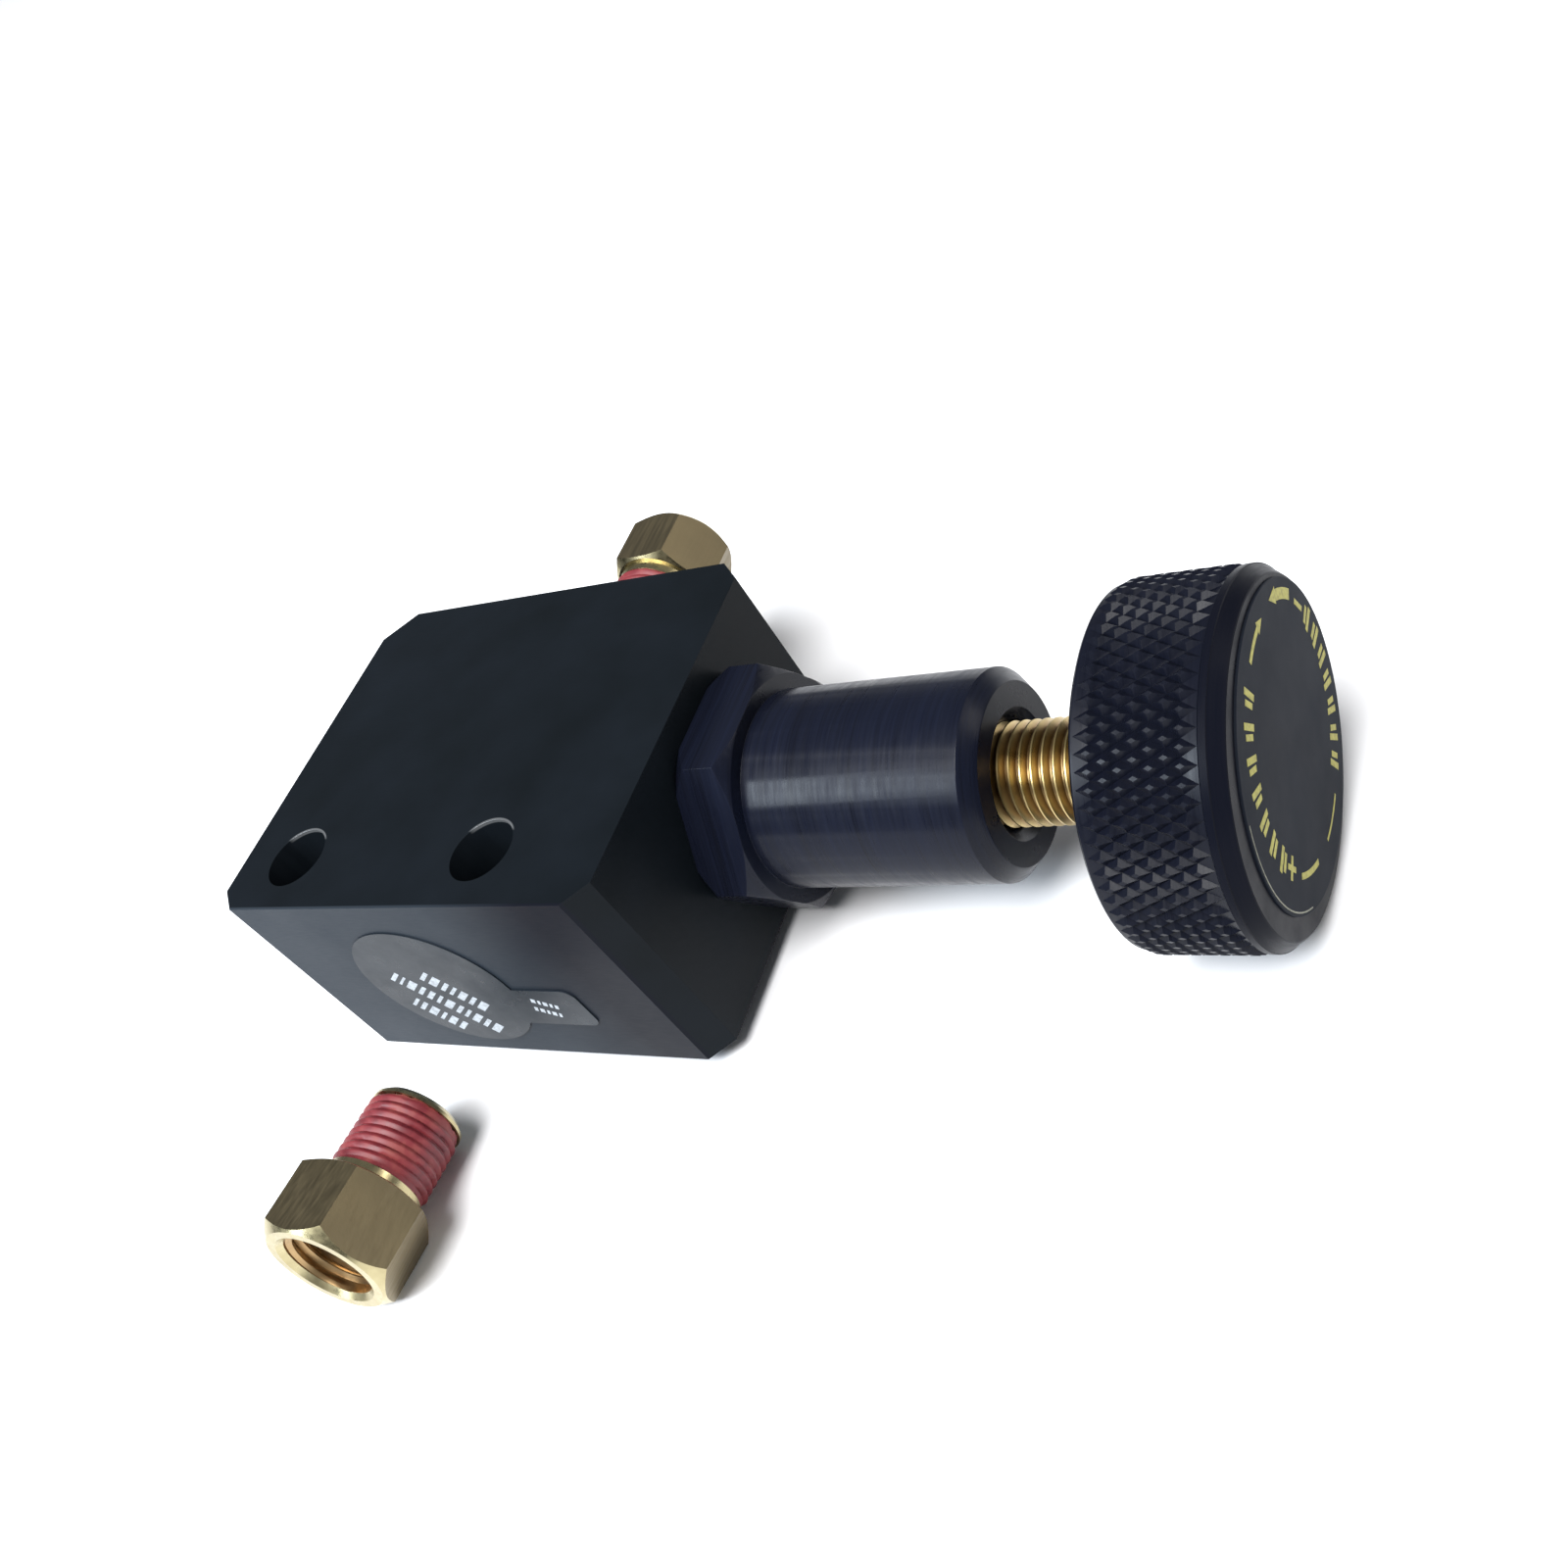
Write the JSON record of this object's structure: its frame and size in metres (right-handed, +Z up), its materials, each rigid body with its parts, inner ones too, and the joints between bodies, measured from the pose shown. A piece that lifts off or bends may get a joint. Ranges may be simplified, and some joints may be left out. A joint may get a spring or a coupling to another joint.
{
  "type": "flow control valve",
  "caption": "Adjustable flow control valve: chamfered port block with through mounting holes, hex-flanged spring bonnet, threaded stem, knurled knob and brass tube adaptors.",
  "frame": {"origin": "midway between the two mounting holes, on the base face of the block", "axes": "+X along the valve axis from the block to the knob, +Z up out of the base face, -Y out of the inlet port"},
  "size_m": [0.1044, 0.0845, 0.0317],
  "materials": {
    "black_anodised": "satin black anodised",
    "black_anodised_turned": "satin black anodised over turning marks",
    "bush_brass": "machined",
    "rubber": "matte",
    "steel": "machined",
    "spring_steel": "drawn wire",
    "stem_brass": "bright, dark in the thread roots",
    "fitting_brass": "dull, bright on the bevels",
    "knob_label": "satin grey-blue with gold marks",
    "thread_sealant": "waxy",
    "clear_sticker": "thin film with white marks"
  },
  "bodies": {
    "valve_body": {"body_block": "black_anodised", "seat_insert": "bush_brass", "poppet_seal": "rubber", "bonnet": "black_anodised_turned", "bonnet_o_ring": "rubber", "piston_guide": "bush_brass", "rod_o_ring": "rubber", "guide_o_ring": "rubber", "retaining_ring": "steel", "outlet_fitting": "fitting_brass", "outlet_sealant": "thread_sealant"},
    "piston": {"piston": "steel", "lower_spring_seat": "steel"},
    "spring_carrier": {"spring_button": "steel", "thrust_ball": "steel", "preload_spring": "spring_steel"},
    "adjuster": {"adjusting_stem": "stem_brass", "knob": "black_anodised_turned", "knob_set_screw": "steel", "knob_label": "knob_label"},
    "loose_fitting": {"inlet_fitting": "fitting_brass", "inlet_sealant": "thread_sealant"},
    "port_sticker": {"inlet_port_sticker": "clear_sticker"}
  },
  "joints": [
    {"name": "stem_travel", "type": "slide", "parent": "valve_body", "child": "spring_carrier", "axis": [1, 0, 0], "range_m": [-0.0074, 0.0021], "deforming": ["preload_spring"]},
    {"name": "knob_turn", "type": "hinge", "parent": "spring_carrier", "child": "adjuster", "pos_m": [0, 0.0171, 0.01193], "axis": [1, 0, 0], "range_deg": [-2520, 720]},
    {"name": "piston_slide", "type": "slide", "parent": "valve_body", "child": "piston", "axis": [1, 0, 0], "range_m": [0, 0.00195], "stiffness_N_per_m": 400, "springref_m": -0.001},
    {"name": "inlet_fitting_slide", "type": "slide", "parent": "valve_body", "child": "loose_fitting", "axis": [0, 1, 0], "range_m": [-0.02, 0.009]},
    {"name": "sticker_peel", "type": "slide", "parent": "valve_body", "child": "port_sticker", "axis": [0, 0, 1], "range_m": [0, 0.026]}
  ],
  "couplings": [
    {"joint": "knob_turn", "follows": "stem_travel", "rad_per_m": 5937.1}
  ]
}
